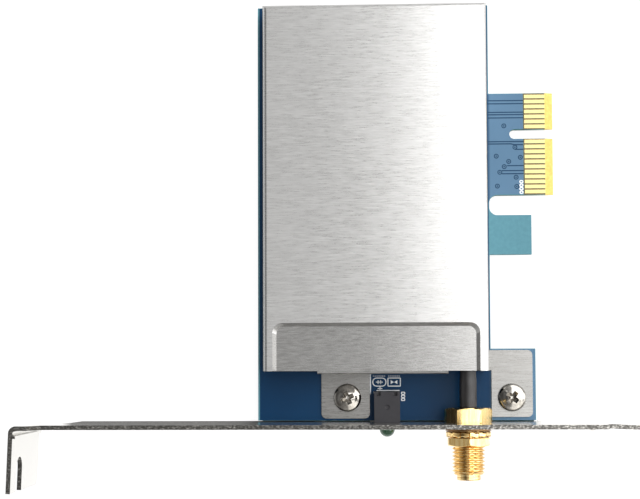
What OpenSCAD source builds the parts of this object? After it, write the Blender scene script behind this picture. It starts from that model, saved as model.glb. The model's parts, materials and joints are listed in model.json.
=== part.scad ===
// PCI Express x1 wireless network card with a full-height bracket.
// Frame: the origin is the card-edge datum, on the key notch's centre line, at the
// finger edge and on the board's mid-plane. +X points to the finger edge, -Y points
// out of the bracket, and +Z points out of the component side. Millimetres.

/* [Board] */
// Thickness of the circuit board
board_t = 1.57; // [1.5:0.01:1.6]
// Distance from the finger edge back to the far long edge
board_w = 58.75; // [54:0.25:66]
// Distance from the key notch's centre line to the board's rear end
board_rear = 26; // [22:0.25:30]
// Distance from the finger edge back to the main edge beside the fingers
finger_tab_l = 12.7; // [11.5:0.1:13]
// Clearance between the board's front edge and the bracket
board_gap = 0.25; // [0.22:0.01:0.5]

/* [Edge connector] */
// Pitch of the contact fingers
pitch = 1; // [0.99:0.01:1.01]
// Width of one contact finger
finger_w = 0.7; // [0.6:0.05:0.75]
// Length of one contact finger
finger_l = 4.05; // [3.8:0.05:4.3]
// Thickness of the contact plating
finger_t = 0.04; // [0.03:0.01:0.06]
// Number of fingers on the long side of the key notch
long_count = 11; // [11:1:11]
// Number of fingers on the short side of the key notch
short_count = 7; // [7:1:7]
// Width of the key notch
key_w = 1.9; // [1.8:0.05:2]
// Depth of the key notch
key_l = 8.6; // [8:0.1:9]

/* [Shield cover] */
// Thickness of the cover's sheet
cover_t = 0.4; // [0.3:0.05:0.5]
// Height of the cover's top above the board
cover_h = 9.3; // [8:0.1:9.5]
// Depth of the pressed recess in the cover's top
recess_h = 1; // [0.6:0.1:1.2]
// Length of the pressed recess back from the cover's front edge
recess_l = 9.3; // [8:0.1:11]

/* [Bracket] */
// Thickness of the bracket's sheet
bracket_t = 0.86; // [0.8:0.01:0.9]
// Overall length of the bracket
bracket_l = 120.02; // [119.9:0.01:120.15]
// Length from the tab's outer face to the shoulder
shoulder_l = 112.75; // [112.6:0.01:112.9]
// Width of the blade
blade_w = 18.42; // [18.3:0.01:18.5]
// Width of the screw tab
tab_w = 21.59; // [21.4:0.01:21.7]
// Length of the screw tab beyond the blade's inner face
tab_l = 12.7; // [12:0.1:13]
// Lean of the screw tab away from square, in degrees
tab_lean = 2; // [0:0.5:3]
// Lean of the tongue out of the blade's plane, in degrees
tongue_lean = 3; // [0:0.5:4]
// Width of the tongue
tongue_w = 10.19; // [10:0.01:10.3]
// Width of the screw slot
slot_w = 4.42; // [4.3:0.01:4.6]

/* [Antenna connector] */
// Major diameter of the antenna thread
thread_d = 6.35; // [6.2:0.01:6.35]
// Size of the hexagons across their flats
hex_af = 8; // [7.9:0.05:8.1]
// Length of the thread beyond the bracket's outer face
thread_l = 9.05; // [8.5:0.05:11]

/* [Hidden] */
$fn = 64;
eps = 0.01;

board_top = board_t / 2;
board_bottom = -board_t / 2;
board_left = -board_w;
main_edge = -finger_tab_l;

// Bracket planes. The blade is square to the board.
inner_face = -56.95;
outer_face = inner_face - bracket_t;
board_front = inner_face + board_gap;
tab_face = -104.42;
shoulder = tab_face + shoulder_l;
blade_low = board_top - 4.1;
blade_high = blade_low + blade_w;
blade_mid = (blade_low + blade_high) / 2;
tab_high = blade_low + tab_w;
bend_r = 0.5;
neck_low = 3.6;
neck_end = -95.2;
neck_slope = 0.4;
ear_end = -100.9;
ear_slope_end = -99;
slot_mid = 12;
slot_l = 6.6;
tab_corner = 1.2;
tongue_l = bracket_l - shoulder_l;
tongue_chamfer = 1.6;

// Board outline, along the finger side from rear to front.
short_margin = 8.15;
long_margin = -12.15;
hook_near = -16.15;
hook_far = -24;
hook_tip = -4.4;
lobe_rear = -42.6;
lobe_tip = -3.9;
notch_r = 1.6;
bevel_l = 1.55;
bevel_d = 0.52;

// Fasteners and the bracket's feet under the board.
screw_y = inner_face + 4.75;
left_screw_x = -41;
right_screw_x = -8.65;
screw_r = 1.5;
screw_l = 4;
head_r = 2.75;
head_h = 1.9;
screw_hole_r = 1.7;
tapped_r = 1.55;
foot_w = 9;
foot_l = 9.6;
foot_bend_r = 0.2;
foot_relief = 0.8;

// Shield cover.
cover_left = -57.1;
cover_right = -13.6;
cover_rear = 24.5;
cover_front = inner_face + 10.1;
cover_top = board_top + cover_h;
cover_r = 0.9;
recess_left = -55.2;
recess_right = -15.3;
recess_slope = 0.7;
recess_corner = 1.5;
recess_floor = cover_top - recess_h;
wall_left = -46.6;
wall_right = -21.4;
wall_face = cover_front - 0.6;
front_foot_left = -46.15;
front_foot_right = -36.6;
front_foot_end = -56.3;
side_foot_left = -12.6;
side_foot_right = -4.55;
side_foot_front = -56.05;
side_foot_rear = -42.9;
foot_corner = 1;

// Antenna connector, on an axis along Y through the blade's middle.
port_x = -17.5;
port_z = blade_mid;
thread_r = thread_d / 2;
relief_r = 2.9;
nut_bore_r = thread_r + 0.05;
port_hole_r = 3.25;
hex_l = 2.9;
nose_r = 2.3;
nose_l = 1.1;
cavity_r = 2.05;
cavity_l = 3.2;
insulator_bore_r = 0.64;
washer_t = 0.65;
washer_r = 4.45;
lock_t = 1.3;
lock_sheet = 0.5;
lock_r = 4.35;
lock_teeth = 8;
nut_h = 1.6;
washer_gap = 0.01;
washer_end = outer_face - washer_gap - washer_t;
lock_end = washer_end - washer_gap - lock_t;
nut_end = lock_end - washer_gap - nut_h;
thread_end = outer_face - thread_l;
free_start = nut_end - 0.1;
hex_rear = inner_face + hex_l;

// Antenna lead, from the connector to its socket on the board.
ferrule_r = 1.25;
ferrule_l = 5;
sleeve_r = 1.7;
sleeve_end = -39.5;
cable_r = 0.57;
socket_y = -27.5;
plug_axis_z = board_top + 2.1;
cable_bend_r = 4;
cable_drop = port_z - plug_axis_z;
cable_angle = acos(1 - cable_drop / (2 * cable_bend_r));
cable_run = 2 * cable_bend_r * sin(cable_angle);

// Status lamp.
lamp_x = -33.2;
lamp_z = board_top + 3.3;
lamp_r = 1.5;
lamp_tip = outer_face - 1.95;
holder_w = 5.05;
holder_rear = -50.9;
holder_h = 5.6;
lamp_rear = -53;
lead_w = 0.5;
lead_gap = 2.54;
lead_hole_r = 0.45;
lead_y = -52;
lead_tip = board_bottom - 1;

// --- Shared shapes ---

// Draws its children in the YZ plane and extrudes them along X.
module along_x(x_from, x_to) {
    translate([x_from, 0, 0])
        rotate([90, 0, 90])
            linear_extrude(x_to - x_from) children();
}

// Draws its children in the XZ plane and extrudes them along Y.
module along_y(y_from, y_to) {
    translate([0, y_to, 0])
        rotate([90, 0, 0])
            linear_extrude(y_to - y_from) children();
}

// Cylinder along Y on the line through x and z.
module y_rod(x, z, y_from, y_to, r, sides = 64) {
    translate([x, y_to, z])
        rotate([90, 0, 0])
            cylinder(h = y_to - y_from, r = r, $fn = sides);
}

// Rectangle between two corners.
module span(low, high) {
    translate(low) square(high - low);
}

// Box between two corners.
module block(low, high) {
    translate(low) cube(high - low);
}

// Rectangle between two corners, with all its corners rounded.
module round_span(low, high, r) {
    span([low.x + r, low.y], [high.x - r, high.y]);
    span([low.x, low.y + r], [high.x, high.y - r]);
    for (x = [low.x + r, high.x - r], y = [low.y + r, high.y - r])
        translate([x, y]) circle(r);
}

// Quarter ring of sheet about a bend's centre, from angle a over the next 90 degrees.
module bend(centre, r_in, t, a) {
    translate(centre)
        intersection() {
            difference() {
                circle(r_in + t);
                circle(r_in);
            }
            rotate(a) square(2 * (r_in + t));
        }
}

// Hexagonal prism along Y, with corners to the left and right when turned by 0.
module hex_rod(y_from, y_to, turn) {
    translate([port_x, y_to, port_z])
        rotate([90, turn, 0])
            cylinder(h = y_to - y_from, r = hex_af / sqrt(3), $fn = 6);
}

// Component body standing on the board.
module package(centre, size) {
    translate([centre.x - size.x / 2, centre.y - size.y / 2, board_top]) cube(size);
}

// --- Circuit board ---

// Concave fillet for an inner corner; the solid lies away from dir.
module inner_fillet(corner, dir, r) {
    translate(corner)
        difference() {
            span([min(0, dir.x * r), min(0, dir.y * r)], [max(0, dir.x * r), max(0, dir.y * r)]);
            translate(dir * r) circle(r);
        }
}

module board_outline() {
    difference() {
        union() {
            span([board_left, board_front], [main_edge, board_rear]);
            span([main_edge - eps, long_margin], [0, short_margin]);
            span([main_edge - eps, hook_far], [hook_tip, hook_near]);
            span([main_edge - eps, board_front], [lobe_tip, lobe_rear]);
            inner_fillet([main_edge, hook_near], [1, 1], notch_r);
            inner_fillet([main_edge, long_margin], [1, -1], notch_r);
        }
        span([-key_l + key_w / 2, -key_w / 2], [eps, key_w / 2]);
        translate([-key_l + key_w / 2, 0]) circle(key_w / 2);
    }
}

module pcb() {
    color([0.06, 0.25, 0.42])
        difference() {
            translate([0, 0, board_bottom]) linear_extrude(board_t) board_outline();
            for (side = [-1, 1])
                along_y(long_margin - 1, short_margin + 1)
                    polygon([
                        [-bevel_l, side * board_top],
                        [1, side * (board_top - bevel_d * (1 + bevel_l) / bevel_l)],
                        [1, side * (board_top + 1)],
                        [-bevel_l, side * (board_top + 1)]
                    ]);
            for (x = [left_screw_x, right_screw_x])
                translate([x, screw_y, board_bottom - 1])
                    cylinder(h = board_t + 2, r = screw_hole_r);
            for (side = [-1, 1])
                translate([lamp_x + side * lead_gap / 2, lead_y, board_bottom - 1])
                    cylinder(h = board_t + 2, r = lead_hole_r);
        }
}

// One side's fingers, with their undersides at height z.
module fingers(z) {
    first_long = -key_w / 2 - 0.55;
    first_short = key_w / 2 + 0.55;
    for (i = [0 : long_count - 1])
        block(
            [-bevel_l - finger_l, first_long - i * pitch - finger_w / 2, z],
            [-bevel_l, first_long - i * pitch + finger_w / 2, z + finger_t]
        );
    for (i = [0 : short_count - 1])
        block(
            [-bevel_l - finger_l, first_short + i * pitch - finger_w / 2, z],
            [-bevel_l, first_short + i * pitch + finger_w / 2, z + finger_t]
        );
}

module edge_contacts_front() {
    color([0.95, 0.78, 0.35]) fingers(board_top);
}

module edge_contacts_back() {
    color([0.95, 0.78, 0.35]) fingers(board_bottom - finger_t);
}

// --- Shield cover ---

// Solid with the cover's rounded upper edges, shrunk by g on the sides and the top.
module cover_form(g) {
    r = cover_r - g;
    intersection() {
        along_y(cover_front - 1, cover_rear - g) {
            span([cover_left + g, board_top - g], [cover_right - g, cover_top - cover_r]);
            round_span([cover_left + g, cover_top - 4], [cover_right - g, cover_top - g], r);
        }
        along_x(cover_left, cover_right) {
            span([cover_front - g, board_top - g], [cover_rear - g, cover_top - cover_r]);
            span([cover_front - g, cover_top - 4], [cover_rear - cover_r, cover_top - g]);
            translate([cover_rear - cover_r, cover_top - cover_r]) circle(r);
        }
    }
}

// Pressed recess, open at the front, grown by g.
module recess_form(g) {
    rear = cover_front + recess_l + g;
    slope = recess_slope;
    low = recess_floor - g;
    hull() {
        translate([0, 0, low])
            linear_extrude(eps)
                round_span(
                    [recess_left + slope - g, cover_front - 4],
                    [recess_right - slope + g, rear - slope],
                    recess_corner, $fn = 32
                );
        translate([0, 0, low + recess_h + slope])
            linear_extrude(eps)
                round_span(
                    [recess_left - slope * slope / recess_h - g, cover_front - 4],
                    [recess_right + slope * slope / recess_h + g, rear + slope * slope / recess_h],
                    recess_corner + slope, $fn = 32
                );
    }
}

// Front wall, bent down from the recess to the board.
module front_wall() {
    r_in = 0.2;
    drop_to = recess_floor - cover_t - r_in;
    along_x(wall_left, wall_right) {
        span([wall_face + cover_t + r_in, recess_floor - cover_t], [cover_front + 1, recess_floor]);
        bend([wall_face + cover_t + r_in, drop_to], r_in, cover_t, 90);
        span([wall_face, board_top + cover_t + r_in], [wall_face + cover_t, drop_to]);
    }
    for (x = [[wall_left, front_foot_left], [front_foot_right, wall_right]])
        along_x(x[0], x[1])
            span([wall_face, board_top], [wall_face + cover_t, board_top + cover_t + r_in]);
    along_x(front_foot_left, front_foot_right)
        bend([wall_face - r_in, board_top + cover_t + r_in], r_in, cover_t, 270);
}

module shield_cover() {
    r_in = 0.2;
    color([0.72, 0.72, 0.71])
        difference() {
            union() {
                difference() {
                    cover_form(0);
                    cover_form(cover_t);
                    recess_form(cover_t / 2);
                }
                intersection() {
                    difference() {
                        recess_form(cover_t);
                        recess_form(0);
                    }
                    block(
                        [cover_left + 1, cover_front, board_top + 1],
                        [cover_right - 1, cover_rear, cover_top]
                    );
                }
                front_wall();
                translate([0, 0, board_top])
                    linear_extrude(cover_t)
                        round_span(
                            [front_foot_left, front_foot_end],
                            [front_foot_right, wall_face - r_in], foot_corner
                        );
                block(
                    [front_foot_left, wall_face - r_in - 2, board_top],
                    [front_foot_right, wall_face - r_in, board_top + cover_t]
                );
                translate([0, 0, board_top])
                    linear_extrude(cover_t) {
                        round_span(
                            [side_foot_left, side_foot_front],
                            [side_foot_right, side_foot_rear], foot_corner
                        );
                        span([side_foot_left, side_foot_front], [side_foot_left + 2, side_foot_rear]);
                        span([cover_right - cover_t, cover_front], [side_foot_left + 1, side_foot_rear]);
                    }
            }
            for (x = [left_screw_x, right_screw_x])
                translate([x, screw_y, board_top - 1]) cylinder(h = 3, r = screw_hole_r);
        }
}

// --- Bracket ---

// Edge view of the bent strip, in the XY plane.
module bracket_strip() {
    pivot = [tab_face + bend_r + bracket_t, inner_face - bracket_t - bend_r];
    // Blade
    span([pivot.x, outer_face], [shoulder, inner_face]);
    // Bend and tab
    bend(pivot, bend_r, bracket_t, 90);
    translate(pivot)
        rotate(-tab_lean) {
            intersection() {
                difference() {
                    circle(bend_r + bracket_t);
                    circle(bend_r);
                }
                translate([-bend_r - bracket_t, -1]) square([bend_r + bracket_t, 1.5]);
            }
            span([-bend_r - bracket_t, bend_r + bracket_t - tab_l], [-bend_r, 0]);
        }
    // Tongue
    translate([shoulder, inner_face])
        rotate(-tongue_lean)
            span([-0.05, -bracket_t], [tongue_l, 0]);
}

// Side view of the blade, the tab's root and the tongue, in the XZ plane.
module bracket_face() {
    difference() {
        union() {
            span([neck_end, blade_low], [shoulder, blade_high]);
            span([tab_face - 2, blade_low], [neck_end + eps, tab_high]);
            span([shoulder - 1, blade_mid - tongue_w / 2], [shoulder + tongue_l + 1, blade_mid + tongue_w / 2]);
        }
        // Slope from the ear down to the blade
        polygon([
            [ear_end, tab_high], [ear_slope_end, blade_high],
            [neck_end + 1, blade_high], [neck_end + 1, tab_high + 1], [ear_end, tab_high + 1]
        ]);
        // Neck beside the screw tab
        polygon([
            [tab_face + bend_r + bracket_t, blade_low - 1], [tab_face + bend_r + bracket_t, neck_low],
            [neck_end - neck_slope, neck_low], [neck_end + neck_slope, blade_low],
            [neck_end + neck_slope, blade_low - 1]
        ]);
        // Tongue's tapered end
        for (side = [-1, 1])
            polygon([
                [shoulder + tongue_l - 2 * tongue_chamfer, blade_mid + side * (tongue_w / 2 + eps)],
                [shoulder + tongue_l, blade_mid + side * (tongue_w / 2 - tongue_chamfer)],
                [shoulder + tongue_l + 2, blade_mid + side * (tongue_w / 2 - tongue_chamfer)],
                [shoulder + tongue_l + 2, blade_mid + side * (tongue_w / 2 + 2)],
                [shoulder + tongue_l - 2 * tongue_chamfer, blade_mid + side * (tongue_w / 2 + 2)]
            ]);
    }
}

// Foot folded in under the board, with a tapped hole.
module bracket_foot(x) {
    top = board_bottom;
    left = x - foot_w / 2;
    right = x + foot_w / 2;
    along_x(left, right) {
        bend([inner_face + foot_bend_r, top + foot_bend_r], foot_bend_r, bracket_t, 180);
        span([outer_face, top + foot_bend_r], [inner_face, top + foot_bend_r + 1]);
    }
    translate([0, 0, top - bracket_t])
        linear_extrude(bracket_t) {
            round_span([left, inner_face + foot_bend_r], [right, inner_face + foot_l], foot_corner);
            span([left, inner_face + foot_bend_r], [right, inner_face + foot_l - 2]);
        }
}

module mounting_bracket() {
    tab_dir = [-sin(tab_lean), -cos(tab_lean)];
    color([0.74, 0.72, 0.68])
        difference() {
            union() {
                difference() {
                    intersection() {
                        translate([0, 0, blade_low - 1]) linear_extrude(tab_w + 2) bracket_strip();
                        along_y(inner_face - tab_l - 2, inner_face + 1) bracket_face();
                    }
                    for (x = [left_screw_x, right_screw_x])
                        block(
                            [x - foot_w / 2 - foot_relief, outer_face - 1, blade_low - 1],
                            [x + foot_w / 2 + foot_relief, inner_face + 1, board_bottom + foot_bend_r]
                        );
                }
                for (x = [left_screw_x, right_screw_x]) bracket_foot(x);
                // Locating dimple near the shoulder
                translate([shoulder - 2.9, outer_face, blade_high - 2.4])
                    rotate([90, 0, 0])
                        intersection() {
                            translate([0, 0, -1.2]) sphere(1.6);
                            cylinder(h = 1, r = 2);
                        }
            }
            // Screw slot, open at the tab's end
            along_x(tab_face - 3, tab_face + 3) {
                translate([inner_face - tab_l + slot_l - slot_w / 2, slot_mid]) circle(slot_w / 2);
                span(
                    [inner_face - tab_l - 1, slot_mid - slot_w / 2],
                    [inner_face - tab_l + slot_l - slot_w / 2, slot_mid + slot_w / 2]
                );
            }
            // Tab's far corner
            along_x(tab_face - 3, tab_face + 3)
                polygon([
                    [inner_face - tab_l - 1, blade_low - 1],
                    [inner_face - tab_l + tab_corner, blade_low - 1],
                    [inner_face - tab_l + tab_corner, blade_low],
                    [inner_face - tab_l, blade_low + tab_corner],
                    [inner_face - tab_l - 1, blade_low + tab_corner]
                ]);
            y_rod(port_x, port_z, outer_face - 1, inner_face + 1, port_hole_r);
            y_rod(lamp_x, lamp_z, outer_face - 1, inner_face + 1, lamp_r + 0.1);
            for (x = [left_screw_x, right_screw_x])
                translate([x, screw_y, board_bottom - 2]) cylinder(h = 2.5, r = tapped_r);
        }
}

// --- Screws ---

// Cross-head pan screw standing on the cover's foot.
module screw(x) {
    seat = board_top + cover_t;
    dome_r = 4.2;
    recess_w = 0.85;
    recess_r = 1.65;
    recess_d = 1.35;
    rim_h = 0.7;
    color([0.78, 0.76, 0.72])
        translate([x, screw_y, seat])
            difference() {
                union() {
                    translate([0, 0, -screw_l]) cylinder(h = screw_l, r = screw_r);
                    cylinder(h = rim_h, r = head_r);
                    intersection() {
                        cylinder(h = head_h, r = head_r);
                        translate([0, 0, head_h - dome_r]) sphere(dome_r);
                    }
                }
                intersection() {
                    translate([0, 0, head_h - recess_d])
                        cylinder(h = recess_d + eps, r1 = 0.5, r2 = recess_r);
                    union() {
                        block([-2, -recess_w / 2, 0], [2, recess_w / 2, 3]);
                        block([-recess_w / 2, -2, 0], [recess_w / 2, 2, 3]);
                    }
                }
            }
}

module left_screw() { screw(left_screw_x); }
module right_screw() { screw(right_screw_x); }

// --- Antenna connector ---

module antenna_connector() {
    color([0.93, 0.75, 0.38])
        difference() {
            union() {
                hex_rod(inner_face, hex_rear, 0);
                y_rod(port_x, port_z, thread_end - nose_l, hex_rear - 1, nose_r);
                y_rod(port_x, port_z, thread_end + 0.1, inner_face + 0.1, relief_r);
                y_rod(port_x, port_z, thread_end, free_start, thread_r);
            }
            y_rod(port_x, port_z, thread_end - nose_l - 1, hex_rear + 1, cavity_r);
        }
}

module connector_insulator() {
    color([0.95, 0.95, 0.93])
        difference() {
            y_rod(port_x, port_z, thread_end - nose_l + cavity_l, hex_rear, cavity_r);
            y_rod(port_x, port_z, thread_end - nose_l, hex_rear + 1, insulator_bore_r);
        }
}

module center_contact() {
    pin_r = 0.47;
    pin_tip = thread_end - nose_l + 0.5;
    color([0.95, 0.78, 0.4]) {
        y_rod(port_x, port_z, pin_tip + 0.4, hex_rear - 1.5, pin_r);
        y_rod(port_x, port_z, thread_end - nose_l + cavity_l + 0.5, hex_rear - 1.5, insulator_bore_r);
        translate([port_x, pin_tip + 0.4, port_z])
            rotate([90, 0, 0])
                cylinder(h = 0.4, r1 = pin_r, r2 = 0.2);
    }
}

module flat_washer() {
    color([0.9, 0.74, 0.4])
        difference() {
            y_rod(port_x, port_z, washer_end, outer_face - washer_gap, washer_r);
            y_rod(port_x, port_z, washer_end - 1, outer_face + 1, nut_bore_r + 0.05);
        }
}

// Ring with teeth twisted to both sides of its sheet.
module lock_washer() {
    ring_mid = (washer_end + lock_end) / 2 - washer_gap / 2;
    tooth_w = 1.5;
    tooth_l = 1.25;
    color([0.92, 0.76, 0.42])
        difference() {
            intersection() {
                union() {
                    y_rod(port_x, port_z, ring_mid - lock_sheet / 2, ring_mid + lock_sheet / 2,
                        lock_r - tooth_l + 0.3);
                    for (i = [0 : lock_teeth - 1])
                        translate([port_x, ring_mid, port_z])
                            rotate([0, i * 360 / lock_teeth, 0])
                                translate([lock_r - tooth_l / 2, 0, 0])
                                    rotate([42, 0, 0])
                                        cube([tooth_l, lock_sheet, tooth_w], center = true);
                }
                y_rod(port_x, port_z, lock_end, washer_end - washer_gap, lock_r);
            }
            y_rod(port_x, port_z, lock_end - 1, washer_end + 1, nut_bore_r + 0.05);
        }
}

module hex_nut() {
    chamfer = 0.35;
    corner_r = hex_af / sqrt(3);
    color([0.95, 0.78, 0.4])
        difference() {
            intersection() {
                hex_rod(nut_end, nut_end + nut_h, 30);
                translate([port_x, nut_end + nut_h, port_z])
                    rotate([90, 0, 0]) {
                        cylinder(h = nut_h - chamfer, r = corner_r + eps);
                        translate([0, 0, nut_h - chamfer])
                            cylinder(h = chamfer, r1 = corner_r + eps, r2 = corner_r - 2 * chamfer);
                    }
            }
            y_rod(port_x, port_z, nut_end - 1, nut_end + nut_h + 1, nut_bore_r);
        }
}

// --- Antenna lead ---

module crimp_ferrule() {
    color([0.88, 0.72, 0.4])
        difference() {
            y_rod(port_x, port_z, hex_rear, hex_rear + ferrule_l, ferrule_r);
            y_rod(port_x, port_z, hex_rear - 1, hex_rear + ferrule_l + 1, cable_r);
        }
}

module heat_shrink_sleeve() {
    color([0.06, 0.06, 0.06])
        difference() {
            y_rod(port_x, port_z, hex_rear, sleeve_end, sleeve_r);
            y_rod(port_x, port_z, hex_rear - 1, sleeve_end + 1, ferrule_r);
        }
}

// Part of a ring in the YZ plane, from the angle a backwards through the cable's angle.
module cable_bend(centre, a) {
    reach = 2 * cable_bend_r;
    translate([port_x, centre.x, centre.y])
        rotate([90, 0, 90])
            intersection() {
                rotate_extrude() translate([cable_bend_r, 0]) circle(cable_r);
                translate([0, 0, -1])
                    linear_extrude(2)
                        polygon([
                            [0, 0], reach * [cos(a), sin(a)],
                            reach * [cos(a - cable_angle), sin(a - cable_angle)]
                        ]);
            }
}

// Cable that leaves the sleeve straight, then drops in an S bend to its plug.
module coax_cable() {
    drop_start = sleeve_end + 1.5;
    color([0.15, 0.15, 0.15]) {
        y_rod(port_x, port_z, hex_rear, drop_start, cable_r);
        cable_bend([drop_start, port_z - cable_bend_r], 90);
        cable_bend([drop_start + cable_run, plug_axis_z + cable_bend_r], 270);
        y_rod(port_x, plug_axis_z, drop_start + cable_run, socket_y - 1.2, cable_r);
    }
}

module coax_plug() {
    plug_r = 1.5;
    color([0.85, 0.7, 0.4]) {
        difference() {
            translate([port_x, socket_y, board_top + 1]) cylinder(h = 1.6, r = plug_r);
            y_rod(port_x, plug_axis_z, socket_y - 3, socket_y - 1.2, cable_r);
        }
        difference() {
            block(
                [port_x - 0.8, socket_y - 3, board_top + 1.3],
                [port_x + 0.8, socket_y - 1, board_top + 2.9]
            );
            y_rod(port_x, plug_axis_z, socket_y - 4, socket_y - 1.2, cable_r);
        }
    }
}

module coax_socket() {
    color([0.93, 0.9, 0.82]) package([port_x, socket_y], [2.6, 2.6, 0.35]);
    color([0.93, 0.78, 0.42])
        translate([port_x, socket_y, board_top + 0.35]) cylinder(h = 0.65, r = 1);
}

// --- Status lamp ---

module led_holder() {
    half_w = holder_w / 2;
    top = board_top + holder_h;
    notch_w = 0.7;
    notch_l = 0.8;
    color([0.09, 0.09, 0.1])
        difference() {
            block([lamp_x - half_w, inner_face, board_top], [lamp_x + half_w, holder_rear, top]);
            y_rod(lamp_x, lamp_z, inner_face - 1, lamp_rear + 0.02, lamp_r + 0.02);
            // Passages for the lamp's legs
            for (side = [-1, 1])
                block(
                    [lamp_x + side * lead_gap / 2 - 0.35, lead_y - 1.5, board_top - 1],
                    [lamp_x + side * lead_gap / 2 + 0.35, lead_y + 0.35, lamp_z + 0.35]
                );
            for (side = [-1, 1])
                block(
                    [lamp_x + side * (half_w - 0.9) - notch_w / 2, holder_rear - notch_l, top - 1.2],
                    [lamp_x + side * (half_w - 0.9) + notch_w / 2, holder_rear + 1, top + 1]
                );
            translate([lamp_x, (inner_face + holder_rear) / 2, top - 0.15]) cylinder(h = 1, r = 0.45);
        }
}

module status_led() {
    color([0.1, 0.35, 0.16]) {
        y_rod(lamp_x, lamp_z, lamp_tip + lamp_r, lamp_rear, lamp_r);
        translate([lamp_x, lamp_tip + lamp_r, lamp_z]) sphere(lamp_r);
    }
}

module led_leads() {
    color([0.8, 0.8, 0.78])
        for (side = [-1, 1]) {
            x = lamp_x + side * lead_gap / 2;
            block(
                [x - lead_w / 2, lead_y - lead_w / 2, lead_tip],
                [x + lead_w / 2, lead_y + lead_w / 2, lamp_z + lead_w / 2]
            );
            block(
                [x - lead_w / 2, lamp_rear, lamp_z - lead_w / 2],
                [x + lead_w / 2, lead_y - lead_w / 2, lamp_z + lead_w / 2]
            );
        }
}

module led_solder_joints() {
    color([0.75, 0.76, 0.77])
        for (side = [-1, 1])
            translate([lamp_x + side * lead_gap / 2, lead_y, board_bottom - 0.7])
                difference() {
                    cylinder(h = 0.7, r1 = 0.45, r2 = 0.85);
                    translate([-lead_w / 2, -lead_w / 2, -1]) cube([lead_w, lead_w, 2]);
                }
}

// --- Board components under the cover ---

chip_at = [-36, -6];
module wifi_chip() { color([0.1, 0.1, 0.1]) package(chip_at, [9, 9, 0.85]); }
module rf_amplifier() { color([0.12, 0.12, 0.12]) package([-24, -20], [3, 3, 0.75]); }
module rf_filter() { color([0.8, 0.78, 0.7]) package([-20, -24], [2, 1.25, 0.7]); }
module crystal_oscillator() { color([0.8, 0.8, 0.78]) package([-44.5, -13], [3.2, 2.5, 0.7]); }

// Flat leads beside a package, along Y on both of its sides.
module side_leads(centre, count, lead_pitch, half_body, reach) {
    for (i = [0 : count - 1], side = [-1, 1]) {
        y = centre.y + (i - (count - 1) / 2) * lead_pitch;
        x_in = centre.x + side * half_body;
        x_out = centre.x + side * (half_body + reach);
        block([min(x_in, x_out), y - 0.2, board_top], [max(x_in, x_out), y + 0.2, board_top + 0.2]);
        block(
            [x_in - (side < 0 ? 0.25 : 0), y - 0.2, board_top + 0.2],
            [x_in + (side > 0 ? 0.25 : 0), y + 0.2, board_top + 0.9]
        );
    }
}

eeprom_at = [-48.5, 4];
module eeprom_chip() { color([0.1, 0.1, 0.1]) package(eeprom_at, [3.9, 4.9, 1.5]); }
module eeprom_leads() { color([0.8, 0.8, 0.8]) side_leads(eeprom_at, 4, 1.27, 1.95, 1.05); }

regulator_at = [-24.5, 12];
module voltage_regulator() { color([0.1, 0.1, 0.1]) package(regulator_at, [1.7, 2.9, 1.15]); }
module regulator_leads() { color([0.8, 0.8, 0.8]) side_leads(regulator_at, 3, 0.95, 0.85, 0.55); }

module power_inductor() {
    at = [-20.5, 5];
    color([0.2, 0.2, 0.21]) package(at, [4, 4, 1.2]);
    color([0.25, 0.25, 0.26]) translate([at.x, at.y, board_top + 1.2]) cylinder(h = 0.6, r = 1.7);
}

// Ceramic capacitor or resistor with its long side along X.
module two_end_part(centre, size, body_color) {
    color(body_color) package(centre, size);
}

ceramic = [0.72, 0.6, 0.45];
resistor_black = [0.08, 0.08, 0.09];
module bulk_capacitor(i) { two_end_part([-30 + 4.5 * i, 18], [3.2, 1.6, 1.5], ceramic); }
module coupling_capacitor(i) { two_end_part([-16.2, -1.5 - 1.2 * i], [1, 0.5, 0.5], ceramic); }
module decoupling_capacitor(i) { two_end_part([-42 + 3 * i, 1.2], [1.6, 0.8, 0.8], ceramic); }
module chip_resistor(i) { two_end_part([-48.5, -4 - 2 * i], [1.6, 0.8, 0.45], resistor_black); }

// --- Nodes ---

pcb();
edge_contacts_front();
edge_contacts_back();
shield_cover();
mounting_bracket();
left_screw();
right_screw();
antenna_connector();
connector_insulator();
center_contact();
flat_washer();
lock_washer();
hex_nut();
crimp_ferrule();
heat_shrink_sleeve();
coax_cable();
coax_plug();
coax_socket();
led_holder();
status_led();
led_leads();
led_solder_joints();
wifi_chip();
rf_amplifier();
rf_filter();
crystal_oscillator();
eeprom_chip();
eeprom_leads();
voltage_regulator();
regulator_leads();
power_inductor();
for (i = [1 : 2])
    bulk_capacitor(i);
for (i = [1 : 2])
    coupling_capacitor(i);
for (i = [1 : 4])
    decoupling_capacitor(i);
for (i = [1 : 3])
    chip_resistor(i);
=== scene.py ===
import json
import math
import random

import bmesh
import bpy
from mathutils import Matrix, Vector, noise


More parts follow.
